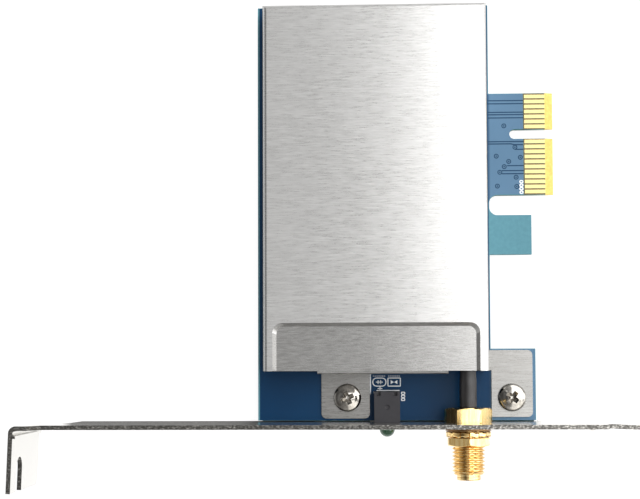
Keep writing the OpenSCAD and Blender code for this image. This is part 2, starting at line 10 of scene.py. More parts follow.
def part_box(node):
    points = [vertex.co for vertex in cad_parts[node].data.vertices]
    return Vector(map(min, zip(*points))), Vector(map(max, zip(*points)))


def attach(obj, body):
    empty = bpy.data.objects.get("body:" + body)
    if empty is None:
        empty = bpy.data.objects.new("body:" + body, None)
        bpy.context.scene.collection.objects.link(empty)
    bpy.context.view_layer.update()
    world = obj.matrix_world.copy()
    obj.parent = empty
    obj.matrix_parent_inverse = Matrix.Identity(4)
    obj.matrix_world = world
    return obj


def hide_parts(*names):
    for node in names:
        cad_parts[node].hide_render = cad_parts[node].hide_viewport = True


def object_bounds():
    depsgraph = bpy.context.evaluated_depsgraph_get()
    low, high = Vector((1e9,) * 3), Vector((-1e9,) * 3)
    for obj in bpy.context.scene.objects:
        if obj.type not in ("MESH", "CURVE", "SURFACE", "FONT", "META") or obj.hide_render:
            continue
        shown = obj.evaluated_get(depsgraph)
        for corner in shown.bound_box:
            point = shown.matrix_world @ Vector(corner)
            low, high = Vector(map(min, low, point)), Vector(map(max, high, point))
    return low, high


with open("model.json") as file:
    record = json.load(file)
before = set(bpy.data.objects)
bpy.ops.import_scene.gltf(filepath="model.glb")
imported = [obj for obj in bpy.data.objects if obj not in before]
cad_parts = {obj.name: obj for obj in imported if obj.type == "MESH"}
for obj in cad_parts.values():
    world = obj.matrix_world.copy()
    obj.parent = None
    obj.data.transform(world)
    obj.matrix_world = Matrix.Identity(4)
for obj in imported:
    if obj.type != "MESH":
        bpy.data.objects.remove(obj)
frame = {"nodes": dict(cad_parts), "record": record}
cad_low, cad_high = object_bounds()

MM = 0.001
nodes = frame["nodes"]
scene = bpy.context.scene
rng = random.Random(11)


# --- Places taken from the CAD ---

def low(node):
    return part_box(node)[0] / MM


def high(node):
    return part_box(node)[1] / MM


# Measures of the CAD that no node's box gives
BOARD_TO_BRACKET = 0.25
BRACKET_T = 0.86
FOOT_T = 0.4
NOSE_L = 1.1
MAIN_EDGE = -12.7
TAB_MARGINS = (-12.15, 8.15)
TAB_FILLET_R = 1.6
LOBE_TIP, LOBE_REAR = -3.9, -42.6
KEY_NOTCH = [(-7.65, 1.02), (-8.32, 0.73), (-8.66, 0.0)]
COVER_TO_BRACKET = 10.1

board_top = high("pcb").z
board_bottom = low("pcb").z
board_left = low("pcb").x
board_rear = high("pcb").y
board_front = low("pcb").y
inner_face = board_front - BOARD_TO_BRACKET
outer_face = inner_face - BRACKET_T
finger_start = low("edge_contacts_front").x
finger_end = high("edge_contacts_front").x
port = (low("connector_insulator") + high("connector_insulator")) / 2
hex_rear = high("antenna_connector").y
nose_end = low("antenna_connector").y
thread_end = nose_end + NOSE_L
cavity_end = low("connector_insulator").y
lamp = (low("status_led") + high("status_led")) / 2
left_screw_at = (low("left_screw") + high("left_screw")) / 2
right_screw_at = (low("right_screw") + high("right_screw")) / 2
screw_seat = board_top + FOOT_T


# --- Materials ---

# Depths of the surface grain, in metres
FINE = 0.00001
COARSE = 0.00002


class Look:
    """A procedural material: a Principled shader with noise that drives colour, roughness and bump."""

    def __init__(self, name, metallic=0.0, **sockets):
        self.mat = bpy.data.materials.new(name)
        self.mat.use_nodes = True
        self.tree = self.mat.node_tree
        self.shader = self.tree.nodes["Principled BSDF"]
        self.shader.inputs["Metallic"].default_value = metallic
        for key, value in sockets.items():
            self.shader.inputs[key.replace("_", " ")].default_value = value
        self.coords = self.add("ShaderNodeTexCoord").outputs["Object"]
        self.bump_from = None

    def add(self, kind, **settings):
        node = self.tree.nodes.new(kind)
        for key, value in settings.items():
            setattr(node, key, value)
        return node

    def link(self, source, target):
        self.tree.links.new(source, target)

    def noise(self, per_metre, detail=3.0, rough=0.55):
        """Noise with its own number of cells per metre along each axis."""
        mapping = self.add("ShaderNodeMapping")
        mapping.inputs["Scale"].default_value = per_metre
        self.link(self.coords, mapping.inputs["Vector"])
        texture = self.add("ShaderNodeTexNoise")
        texture.inputs["Scale"].default_value = 1.0
        texture.inputs["Detail"].default_value = detail
        texture.inputs["Roughness"].default_value = rough
        self.link(mapping.outputs["Vector"], texture.inputs["Vector"])
        return texture.outputs["Fac"]

    def ramp(self, factor, first, second, start=0.35, stop=0.65):
        node = self.add("ShaderNodeValToRGB")
        node.color_ramp.elements[0].position = start
        node.color_ramp.elements[1].position = stop
        node.color_ramp.elements[0].color = (*first, 1)
        node.color_ramp.elements[1].color = (*second, 1)
        self.link(factor, node.inputs["Fac"])
        return node.outputs["Color"]

    def span(self, factor, lowest, highest, start=0.3, stop=0.7):
        node = self.add("ShaderNodeMapRange")
        for key, value in (("From Min", start), ("From Max", stop), ("To Min", lowest), ("To Max", highest)):
            node.inputs[key].default_value = value
        self.link(factor, node.inputs["Value"])
        return node.outputs["Result"]

    def mix(self, factor, first, second):
        node = self.add("ShaderNodeMix", data_type="RGBA")
        self.link(factor, node.inputs["Factor"])
        for value, place in ((first, 6), (second, 7)):
            if isinstance(value, tuple):
                node.inputs[place].default_value = (*value, 1)
            else:
                self.link(value, node.inputs[place])
        return node.outputs[2]

    def colour(self, source):
        self.link(source, self.shader.inputs["Base Color"])

    def roughness(self, source):
        self.link(source, self.shader.inputs["Roughness"])

    def bump(self, source, strength, distance):
        node = self.add("ShaderNodeBump")
        node.inputs["Strength"].default_value = strength
        node.inputs["Distance"].default_value = distance
        self.link(source, node.inputs["Height"])
        if self.bump_from is not None:
            self.link(self.bump_from, node.inputs["Normal"])
        self.bump_from = node.outputs["Normal"]
        self.link(self.bump_from, self.shader.inputs["Normal"])

    def along(self, direction):
        """Stretches the highlight along a direction."""
        node = self.add("ShaderNodeCombineXYZ")
        for axis, value in zip("XYZ", direction):
            node.inputs[axis].default_value = value
        self.link(node.outputs["Vector"], self.shader.inputs["Tangent"])


def above(look, source, limit, operation="GREATER_THAN"):
    """1 where the source passes the limit, otherwise 0."""
    node = look.add("ShaderNodeMath", operation=operation)
    look.link(source, node.inputs[0])
    node.inputs[1].default_value = limit
    return node.outputs[0]


def product(look, first, second):
    node = look.add("ShaderNodeMath", operation="MULTIPLY")
    look.link(first, node.inputs[0])
    look.link(second, node.inputs[1])
    return node.outputs[0]


def between(look, source, rise, fall):
    """1 between two soft edges, otherwise 0."""
    return product(look, look.span(source, 0.0, 1.0, *rise), look.span(source, 1.0, 0.0, *fall))


def plain_look(name, first, second, rough, grain=900.0, bump=0.15, depth=COARSE, **sockets):
    """A finish with a fine even grain: two close colours, a roughness range and a little bump."""
    look = Look(name, **sockets)
    fine = look.noise((grain, grain, grain), 4)
    broad = look.noise((grain / 12, grain / 12, grain / 12), 2)
    look.colour(look.ramp(broad, first, second))
    look.roughness(look.span(fine, rough[0], rough[1]))
    look.bump(fine, bump, depth)
    return look


def brushed_look(name, first, second, rough, strokes, anisotropic, direction, bump=0.2):
    """A brushed metal: long strokes between two tones, with the highlight stretched along a direction."""
    look = Look(name, metallic=1.0, Anisotropic=anisotropic)
    stroke = look.noise(strokes, 5, 0.65)
    cloud = look.noise((35, 35, 35), 2)
    tone = look.mix(look.span(cloud, 0.0, 0.35), look.ramp(stroke, first, second), second)
    look.colour(tone)
    look.roughness(look.span(stroke, rough[0], rough[1]))
    look.bump(stroke, bump, FINE)
    look.along(direction)
    return look


LONG_STROKES = (420, 5600, 5600)
cover_look = brushed_look(
    "cover_steel", (0.47, 0.465, 0.455), (0.64, 0.635, 0.625), (0.25, 0.34),
    LONG_STROKES, 0.75, (0, 1, 0), 0.4
)
# Painted shade: the pressed area is a darker copy of the cover's steel.
recess_painted_shade_look = brushed_look(
    "cover_steel_pressed_painted_shade", (0.25, 0.246, 0.238), (0.41, 0.405, 0.395), (0.22, 0.30),
    LONG_STROKES, 0.65, (0, 1, 0), 0.4
)
bracket_look = brushed_look(
    "bracket_nickel", (0.65, 0.637, 0.608), (0.76, 0.745, 0.715), (0.16, 0.27),
    (260, 3600, 3600), 0.3, (0, 0, 1), 0.12
)
# Painted shade: the feet are a darker copy of the cover's steel.
foot_painted_shade_look = brushed_look(
    "cover_steel_foot_painted_shade", (0.20, 0.195, 0.185), (0.31, 0.305, 0.295), (0.24, 0.34),
    (420, 4600, 4600), 0.6, (0, 1, 0), 0.3
)

sheared_look = Look("bracket_sheared_edge", metallic=1.0)
tear = sheared_look.noise((2300, 3900, 2300), 5, 0.7)
sheared_look.colour(sheared_look.ramp(tear, (0.075, 0.072, 0.066), (0.66, 0.64, 0.60), 0.48, 0.78))
sheared_look.roughness(sheared_look.span(tear, 0.32, 0.18))
sheared_look.bump(tear, 0.16, COARSE)

screw_look = brushed_look(
    "screw_nickel", (0.25, 0.235, 0.21), (0.46, 0.44, 0.41), (0.09, 0.18),
    (900, 900, 900), 0.0, (0, 0, 1), 0.12
)

gold_look = Look("connector_gold", metallic=1.0)
turning = gold_look.noise((2600, 240, 2600), 4, 0.6)
gold_look.colour(gold_look.ramp(turning, (0.86, 0.56, 0.20), (1.0, 0.76, 0.36)))
gold_look.roughness(gold_look.span(turning, 0.12, 0.24))
gold_look.bump(turning, 0.22, FINE)

turned_look = Look("turned_gold", metallic=1.0)
ring_marks = turned_look.noise((240, 5200, 240), 3, 0.6)
turned_look.colour(turned_look.ramp(ring_marks, (0.56, 0.33, 0.10), (1.0, 0.78, 0.40)))
turned_look.roughness(turned_look.span(ring_marks, 0.10, 0.2))
turned_look.bump(ring_marks, 0.15, FINE)

# Painted shade: the flat washer is darkened as if it lay in the bracket's shadow.
washer_painted_shade_look = plain_look(
    "washer_gold_painted_shade", (0.16, 0.085, 0.035), (0.24, 0.14, 0.06), (0.25, 0.4), 1800, metallic=1.0
)

contact_look = Look("contact_gold", metallic=1.0)
wipe = contact_look.noise((260, 3400, 900), 4, 0.6)
contact_look.colour(contact_look.ramp(wipe, (0.58, 0.435, 0.18), (0.66, 0.51, 0.235)))
contact_look.roughness(contact_look.span(wipe, 0.3, 0.42))
contact_look.bump(wipe, 0.12, FINE)

pour_look = Look("mask_on_copper", Specular_IOR_Level=0.14)
weave = pour_look.noise((1300, 1300, 1300), 4)
broad = pour_look.noise((60, 60, 60), 2)
place = pour_look.add("ShaderNodeSeparateXYZ")
pour_look.link(pour_look.coords, place.inputs["Vector"])
# Past the main edge, on the finger tab, the mask takes a lighter blue than on the rest of the board.
main_board_blue = pour_look.ramp(broad, (0.0012, 0.031, 0.088), (0.002, 0.037, 0.102))
finger_tab_blue = pour_look.ramp(broad, (0.088, 0.175, 0.275), (0.100, 0.195, 0.305))
past_edge = pour_look.span(place.outputs["X"], 0.0, 1.0, (MAIN_EDGE - 0.3) * MM, (MAIN_EDGE + 0.3) * MM)
pour_look.colour(pour_look.mix(past_edge, main_board_blue, finger_tab_blue))
pour_look.roughness(pour_look.span(weave, 0.28, 0.4))
pour_look.bump(weave, 0.12, FINE)

gap_look = plain_look(
    "mask_in_gap", (0.010, 0.040, 0.090), (0.014, 0.050, 0.105), (0.4, 0.5), 1500, Specular_IOR_Level=0.14
)

board_look = Look("laminate_and_mask", Specular_IOR_Level=0.2)
grain = board_look.noise((1600, 1600, 1600), 4)
position = board_look.add("ShaderNodeSeparateXYZ")
board_look.link(board_look.coords, position.inputs["Vector"])
facing = board_look.add("ShaderNodeSeparateXYZ")
board_look.link(board_look.add("ShaderNodeNewGeometry").outputs["Normal"], facing.inputs["Vector"])

# Solder mask over bare laminate, olive between the fingers, green sides, and a yellow core at the bevel.
absolute = board_look.add("ShaderNodeMath", operation="ABSOLUTE")
board_look.link(facing.outputs["Z"], absolute.inputs[0])
mask_tone = board_look.ramp(grain, (0.085, 0.235, 0.29), (0.098, 0.262, 0.32))
olive_tone = board_look.ramp(grain, (0.09, 0.095, 0.055), (0.14, 0.145, 0.085))
core_tone = board_look.ramp(grain, (0.66, 0.50, 0.12), (0.80, 0.62, 0.17))
side_tone = board_look.ramp(grain, (0.10, 0.24, 0.23), (0.17, 0.33, 0.30))
beside_fingers = product(
    board_look,
    above(board_look, position.outputs["X"], (finger_start - 0.25) * MM),
    above(board_look, position.outputs["Y"], (TAB_MARGINS[0] - 0.85) * MM),
)
tone = board_look.mix(beside_fingers, mask_tone, olive_tone)
tone = board_look.mix(above(board_look, absolute.outputs[0], 0.5, "LESS_THAN"), tone, side_tone)
tone = board_look.mix(above(board_look, position.outputs["X"], (finger_end - 0.03) * MM), tone, core_tone)
board_look.colour(tone)
board_look.roughness(board_look.span(grain, 0.32, 0.46))
board_look.bump(grain, 0.15, FINE)

print_look = plain_look("white_print", (0.80, 0.83, 0.85), (0.90, 0.92, 0.93), (0.5, 0.62), 3000)
sleeve_look = plain_look(
    "sleeve_black", (0.014, 0.013, 0.013), (0.022, 0.020, 0.020), (0.30, 0.44), 700, 0.25, 0.00004
)
holder_look = plain_look(
    "holder_black", (0.022, 0.021, 0.025), (0.030, 0.029, 0.033), (0.42, 0.55), 2600, 0.35, 0.00003,
    Specular_IOR_Level=0.3
)
cable_look = plain_look("cable_jacket", (0.05, 0.05, 0.052), (0.08, 0.08, 0.083), (0.35, 0.5), 1400)
white_look = plain_look("white_insulator", (0.80, 0.80, 0.77), (0.88, 0.88, 0.85), (0.35, 0.45), 1800)
cream_look = plain_look("socket_cream", (0.70, 0.64, 0.50), (0.78, 0.72, 0.58), (0.4, 0.5), 1800)
chip_look = plain_look("chip_black", (0.022, 0.022, 0.024), (0.035, 0.035, 0.037), (0.42, 0.58), 3200, 0.3)
ceramic_look = plain_look("ceramic_tan", (0.40, 0.27, 0.16), (0.50, 0.36, 0.22), (0.35, 0.5), 2600)
# The lens is dark green at its tip; its pale part where it leaves the bracket is a painted highlight.
lens_look = Look("led_green", Transmission_Weight=0.5, Coat_Weight=0.5)
lens_grain = lens_look.noise((500, 500, 500), 4)
lens_at = lens_look.add("ShaderNodeSeparateXYZ")
lens_look.link(lens_look.coords, lens_at.inputs["Vector"])
lens_look.colour(lens_look.mix(
    lens_look.span(lens_at.outputs["Y"], 1.0, 0.0, (outer_face - 0.62) * MM, (outer_face - 0.28) * MM),
    lens_look.ramp(lens_grain, (0.78, 0.90, 0.80), (0.86, 0.94, 0.87)),
    lens_look.ramp(lens_grain, (0.012, 0.075, 0.03), (0.02, 0.11, 0.045)),
))
lens_look.roughness(lens_look.span(lens_grain, 0.06, 0.12))
lens_look.bump(lens_grain, 0.05, FINE)
tin_look = brushed_look(
    "tinned_metal", (0.62, 0.62, 0.61), (0.76, 0.76, 0.75), (0.2, 0.32),
    (1500, 1500, 1500), 0.0, (0, 0, 1), 0.15
)

looks_by_slot = {
    "circuit_board": board_look, "contact_gold": contact_look, "cover_steel": cover_look,
    "bracket_nickel": bracket_look, "screw_nickel": screw_look, "connector_gold": gold_look,
    "white_insulator": white_look, "sleeve_black": sleeve_look, "cable_jacket": cable_look,
    "socket_cream": cream_look, "holder_black": holder_look, "led_green": lens_look,
    "tinned_metal": tin_look, "chip_black": chip_look, "ceramic_tan": ceramic_look,
}
slot_of = {part["node"]: part["material_slot"] for part in frame["record"]["subparts"]}
for name, node in nodes.items():
    node.data.materials.clear()
    node.data.materials.append(looks_by_slot[slot_of[name]].mat)
nodes["center_contact"].data.materials[0] = turned_look.mat


# --- Mesh helpers ---

def round_corners(corner_low, corner_high, r, steps):
    """Rectangle's outline with round corners, anticlockwise from its lower right corner."""
    outline = []
    for right, rear, base in ((True, False, -90), (True, True, 0), (False, True, 90), (False, False, 180)):
        x = corner_high[0] - r if right else corner_low[0] + r
        y = corner_high[1] - r if rear else corner_low[1] + r
        for i in range(steps + 1):
            angle = math.radians(base + 90 / steps * i)
            outline.append((x + r * math.cos(angle), y + r * math.sin(angle)))
    return outline


class Shape:
    """Gathers closed solids in one mesh. Lengths are in millimetres."""

    def __init__(self):
        self.bm = bmesh.new()

    def ring(self, points):
        return [self.bm.verts.new(Vector(p) * MM) for p in points]

    def bridge(self, first, second, smooth=True):
        count = len(first)
        for i in range(count):
            j = (i + 1) % count
            self.bm.faces.new((first[i], first[j], second[j], second[i])).smooth = smooth

    def prism(self, outline, z_from, z_to):
        """Solid between two heights over a closed outline of (x, y) points."""
        base = self.ring([(x, y, z_from) for x, y in outline])
        top = self.ring([(x, y, z_to) for x, y in outline])
        if z_to < z_from:
            base, top = top, base
        self.bridge(base, top, False)
        self.bm.faces.new(list(reversed(base)))
        self.bm.faces.new(top)

    def stroke(self, start, end, width, z_from, z_to, sides=10):
        """Line with round ends."""
        start, end = Vector(start), Vector(end)
        turn = math.atan2(end.y - start.y, end.x - start.x)
        outline = []
        for centre, base in ((end, turn - math.pi / 2), (start, turn + math.pi / 2)):
            for i in range(sides + 1):
                angle = base + math.pi * i / sides
                outline.append((centre.x + math.cos(angle) * width / 2, centre.y + math.sin(angle) * width / 2))
        self.prism(outline, z_from, z_to)

    def path(self, points, width, z_from, z_to, closed=False):
        """Line of even width through the points, with mitred corners and square ends."""
        points = [Vector(p) for p in points]
        count = len(points)
        sides = []
        for i, point in enumerate(points):
            before = points[i - 1] if i or closed else None
            after = points[(i + 1) % count] if i + 1 < count or closed else None
            steps = [point - before if before else None, after - point if after else None]
            steps = [step.normalized() for step in steps if step]
            along = sum(steps, Vector((0, 0))).normalized()
            reach = width / 2 / max(along.dot(steps[0]), 0.4)
            sides.append(Vector((along.y, -along.x)) * reach)
        rings = []
        for point, side in zip(points, sides):
            left, right = point - side, point + side
            rings.append(self.ring([(*left, z_from), (*right, z_from), (*right, z_to), (*left, z_to)]))
        for first, second in zip(rings, rings[1:] + (rings[:1] if closed else [])):
            self.bridge(first, second, False)
        if not closed:
            self.bm.faces.new(rings[0])
            self.bm.faces.new(list(reversed(rings[-1])))

    def annulus(self, centre, r_in, r_out, z_from, z_to, sides=32):
        """Flat ring between two radii."""
        angles = [2 * math.pi * i / sides for i in range(sides)]
        profile = [(r_in, z_from), (r_out, z_from), (r_out, z_to), (r_in, z_to)]
        rings = [
            self.ring([(centre[0] + r * math.cos(a), centre[1] + r * math.sin(a), z) for a in angles])
            for r, z in profile
        ]
        for k in range(4):
            self.bridge(rings[k], rings[(k + 1) % 4], False)

    def rounded(self, corner_low, corner_high, r, z_from, z_to):
        """Block with round corners."""
        self.prism(round_corners(corner_low, corner_high, r, 6), z_from, z_to)

    def finish(self, name, looks, body="card", replaces=()):
        """Makes the piece, on its body, with its looks and the CAD nodes it stands for."""
        bmesh.ops.recalc_face_normals(self.bm, faces=self.bm.faces)
        mesh = bpy.data.meshes.new(name)
        self.bm.to_mesh(mesh)
        self.bm.free()
        for look in looks:
            mesh.materials.append(look.mat)
        piece = bpy.data.objects.new(name, mesh)
        scene.collection.objects.link(piece)
        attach(piece, body)
        if replaces:
            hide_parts(*replaces)
        return piece


def applied(piece):
    """Makes the piece's modifiers part of its mesh."""
    graph = bpy.context.evaluated_depsgraph_get()
    graph.update()
    mesh = bpy.data.meshes.new_from_object(piece.evaluated_get(graph))
    old = piece.data
    piece.modifiers.clear()
    piece.data = mesh
    bpy.data.meshes.remove(old)


FLAT_AREA = 1.2e-6


def shade(piece, angle):
    """Smooth shading on the small faces of bends and edges, and flat shading on the large flat faces."""
    piece.data.set_sharp_from_angle(angle=math.radians(angle))
    for polygon in piece.data.polygons:
        polygon.use_smooth = polygon.area < FLAT_AREA


def skin(node, name, bevel, segments, looks, body="card", choose=None):
    """Piece with a CAD node's shape and with softened edges. choose gives the number of a face's look."""
    work = bmesh.new()
    work.from_mesh(nodes[node].data)
    bmesh.ops.remove_doubles(work, verts=work.verts, dist=1e-7)
    bmesh.ops.dissolve_limit(work, angle_limit=math.radians(0.6), verts=work.verts, edges=work.edges)
    if choose:
        for face in work.faces:
            face.material_index = choose(face)
    mesh = bpy.data.meshes.new(name)
    work.to_mesh(mesh)
    work.free()
    for look in looks:
        mesh.materials.append(look.mat)
    piece = bpy.data.objects.new(name, mesh)
    scene.collection.objects.link(piece)
    rounding = piece.modifiers.new("edge", "BEVEL")
    rounding.width = bevel * MM
    rounding.segments = segments
    rounding.limit_method = "ANGLE"
    rounding.angle_limit = math.radians(32)
    rounding.use_clamp_overlap = True
    rounding.harden_normals = False
    applied(piece)
    shade(piece, 28)
    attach(piece, body)
    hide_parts(node)


# --- Camera ---

# Fitted to the finger pitch at board level and to the bracket's standard lengths at its nearer edge
TILT, YAW, ROLL = (math.radians(a) for a in (-3.046, -2.530, 0.338))
CAMERA_AT = Vector((-33.515, -43.785, 292.859))
LENS = 82.72
SHIFT = (0.0004, 0.04296)
camera_data = bpy.data.cameras.new("camera")
camera_data.sensor_fit = "HORIZONTAL"
camera_data.sensor_width = 36.0
camera_data.lens = LENS
camera_data.shift_x, camera_data.shift_y = SHIFT
camera_data.clip_start = 0.01
camera = bpy.data.objects.new("camera", camera_data)
turn = Matrix.Rotation(ROLL, 3, "Z") @ Matrix.Rotation(YAW, 3, "Y") @ Matrix.Rotation(TILT, 3, "X")
camera.matrix_world = Matrix.Translation(CAMERA_AT * MM) @ turn.transposed().to_4x4()
scene.collection.objects.link(camera)
scene.camera = camera


# --- Stage and light ---

# Overhead the sky is dark to the left and bright to the right, which grades the steel as in the photo.
OVERHEAD = ((0.0, 0.14), (0.40, 0.10), (0.60, 0.40), (1.0, 0.9))
HORIZON = 0.62
BACKDROP = 0.95

scene.view_settings.view_transform = "Standard"
world = bpy.data.worlds.new("studio")
scene.world = world
world.use_nodes = True
wt = world.node_tree
background = wt.nodes["Background"]
sky = wt.nodes.new("ShaderNodeTexCoord")
sky_split = wt.nodes.new("ShaderNodeSeparateXYZ")
zenith = wt.nodes.new("ShaderNodeValToRGB")
rim = wt.nodes.new("ShaderNodeMapRange")
sky_mix = wt.nodes.new("ShaderNodeMix")
sky_mix.data_type = "RGBA"
side = wt.nodes.new("ShaderNodeMapRange")
wt.links.new(sky.outputs["Generated"], sky_split.inputs["Vector"])
for node, axis, start, stop in ((side, "X", -0.5, 0.5), (rim, "Z", 0.35, 0.8)):
    wt.links.new(sky_split.outputs[axis], node.inputs["Value"])
    node.inputs["From Min"].default_value = start
    node.inputs["From Max"].default_value = stop
wt.links.new(side.outputs["Result"], zenith.inputs["Fac"])
levels = zenith.color_ramp.elements
for position, level in OVERHEAD:
    stop = levels.new(position) if 0 < position < 1 else levels[int(position)]
    stop.color = (level, level, level, 1)
sky_mix.inputs[6].default_value = (HORIZON, HORIZON, HORIZON, 1)
wt.links.new(rim.outputs["Result"], sky_mix.inputs["Factor"])
wt.links.new(zenith.outputs["Color"], sky_mix.inputs[7])
backdrop = wt.nodes.new("ShaderNodeMix")
backdrop.data_type = "RGBA"
wt.links.new(wt.nodes.new("ShaderNodeLightPath").outputs["Is Camera Ray"], backdrop.inputs["Factor"])
wt.links.new(sky_mix.outputs[2], backdrop.inputs[6])
backdrop.inputs[7].default_value = (BACKDROP, BACKDROP, BACKDROP, 1)
wt.links.new(backdrop.outputs[2], background.inputs["Color"])
background.inputs["Strength"].default_value = 1.0


def panel(name, place, size, radiance, aim=None):
    """Rectangular light of the given brightness, which faces down unless it is aimed."""
    light = bpy.data.lights.new(name, "AREA")
    light.shape = "RECTANGLE"
    light.size, light.size_y = size
    light.energy = radiance * math.pi * size[0] * size[1]
    thing = bpy.data.objects.new(name, light)
    thing.location = place
    if aim is not None:
        thing.rotation_euler = (Vector(aim) - Vector(place)).to_track_quat("-Z", "Y").to_euler()
    scene.collection.objects.link(thing)


panel("softbox", (0.302, 0.24, 0.5), (0.613, 0.73), 2.9)
panel("side_box", (0.8, -0.05, 0.27), (0.5, 0.9), 2.2, (0.0, -0.05, 0.02))

FLOOR_HALF = 1.6
FLOOR_GLOW = 0.9
FLOOR_MIRRORED = 1.05
# Two rectangles of the floor are painted dark where the card rests, and they don't follow a pose.
# Each soft edge of the first one is the pair of places where it starts and ends, in metres.
PAINTED_SHADE_X_EDGES = ((-0.099, -0.097), (-0.006, -0.002))
PAINTED_SHADE_Y_EDGES = ((-0.058, -0.057), (0.026, 0.034))
GAP_SIDE_MARGINS = (0.5, 0.6)
GAP_PAST_BRACKET, GAP_UNDER_BOARD = 0.2, 5
floor_z = cad_low.z - 0.05 * MM
floor_corners = [(x * FLOOR_HALF, y * FLOOR_HALF, floor_z) for x, y in ((-1, -1), (1, -1), (1, 1), (-1, 1))]
floor_mesh = bpy.data.meshes.new("floor")
floor_mesh.from_pydata(floor_corners, [], [(0, 1, 2, 3)])
floor = bpy.data.objects.new("floor", floor_mesh)
scene.collection.objects.link(floor)
floor_look = Look("floor_paper")
floor_look.shader.inputs["Emission Color"].default_value = (1, 1, 1, 1)
seen = floor_look.add("ShaderNodeLightPath").outputs["Is Camera Ray"]
spot = floor_look.add("ShaderNodeSeparateXYZ")
floor_look.link(floor_look.coords, spot.inputs["Vector"])


# Mirrored rays find no glow near the card, which darkens the bracket's inner face as in the photo.
# This is painted shade: a dark patch on the floor beside the card.
painted_shade_by_card = product(
    floor_look,
    between(floor_look, spot.outputs["X"], *PAINTED_SHADE_X_EDGES),
    between(floor_look, spot.outputs["Y"], *PAINTED_SHADE_Y_EDGES),
)
# The camera finds no glow in the narrow gap between board and bracket, which is dark in the photo.
# This is painted shade: a dark patch on the floor under the gap.
painted_shade_in_gap = product(
    floor_look,
    product(
        floor_look,
        above(floor_look, spot.outputs["X"], (board_left + GAP_SIDE_MARGINS[0]) * MM),
        above(floor_look, spot.outputs["X"], (LOBE_TIP - GAP_SIDE_MARGINS[1]) * MM, "LESS_THAN"),
    ),
    product(
        floor_look,
        above(floor_look, spot.outputs["Y"], (outer_face - GAP_PAST_BRACKET) * MM),
        above(floor_look, spot.outputs["Y"], (board_front + GAP_UNDER_BOARD) * MM, "LESS_THAN"),
    ),
)
mirrored = floor_look.span(painted_shade_by_card, FLOOR_MIRRORED, 0.0, 0.0, 1.0)
glow = floor_look.mix(seen, mirrored, floor_look.span(painted_shade_in_gap, FLOOR_GLOW, 0.0, 0.0, 1.0))
floor_look.link(glow, floor_look.shader.inputs["Emission Strength"])
floor_look.colour(floor_look.ramp(floor_look.noise((9, 9, 9), 2), (0.20, 0.20, 0.20), (0.22, 0.22, 0.22)))
floor_look.roughness(floor_look.span(floor_look.noise((300, 300, 300), 2), 0.7, 0.8))
floor_mesh.materials.append(floor_look.mat)


# --- Sheet metal with softened edges ---

TAB_X = -103
RECESS_LEFT, RECESS_RIGHT, RECESS_LENGTH = -55.3, -15.2, 9.6
RECESS_DEPTHS = (0.3, 2.2)
cover_front, cover_top = inner_face + COVER_TO_BRACKET, high("shield_cover").z


def bracket_face_kind(face):
    """0 for the rolled faces of the sheet, 1 for its sheared edges."""
    n, at = face.normal, face.calc_center_median() / MM
    on_foot = at.y > inner_face + 0.02
    if on_foot:
        return int(abs(n.z) < 0.5)
    if abs(n.z) > 0.55:
        return 1
    on_tab = at.x < TAB_X or at.y < outer_face - 0.6
    if on_tab:
        return int(n.y < -0.7)
    return int(abs(n.x) > 0.7)


def in_recess(at):
    """The pressed area at the cover's front."""
    deep = RECESS_DEPTHS[0] < cover_top - at.z < RECESS_DEPTHS[1]
    return deep and RECESS_LEFT < at.x < RECESS_RIGHT and at.y < cover_front + RECESS_LENGTH


def cover_face_kind(face):
    """0 for the lid and walls, 1 for the pressed area, 2 for the feet that lie on the board. Areas 1 and 2 take
    darker copies of the lid's steel: painted shade.
    """
    at = face.calc_center_median() / MM
    if at.z < board_top + FOOT_T + 0.2 and abs(face.normal.z) > 0.9:
        return 2
    return int(face.normal.z > 0.9 and in_recess(at))


skin("mounting_bracket", "bracket_sheet", 0.09, 2, [bracket_look, sheared_look], choose=bracket_face_kind)
skin("shield_cover", "cover_sheet", 0.06, 2, [cover_look, recess_painted_shade_look, foot_painted_shade_look], choose=cover_face_kind)
skin("led_holder", "lamp_holder", 0.14, 3, [holder_look])
skin("hex_nut", "jack_nut", 0.08, 2, [gold_look], body="nut")
skin("flat_washer", "jack_flat_washer", 0.10, 3, [washer_painted_shade_look], body="washers")


# --- Copper under the solder mask ---

POUR = 0.02
EDGE_GAP = 0.12
LEFT_GAP = 0.35
FRONT_GAP = 0.03
FINGER_GAP = 0.28
TRACE_GAP = 0.22
THIN_GAP = 0.14
NOTCH_STEPS = 4
front_z, back_z = board_top, board_bottom


def raised(side_z, outward, rise):
    """Heights of a marking that starts inside the copper and stands proud of it."""
    return side_z + outward * POUR * 0.5, side_z + outward * (POUR + rise)


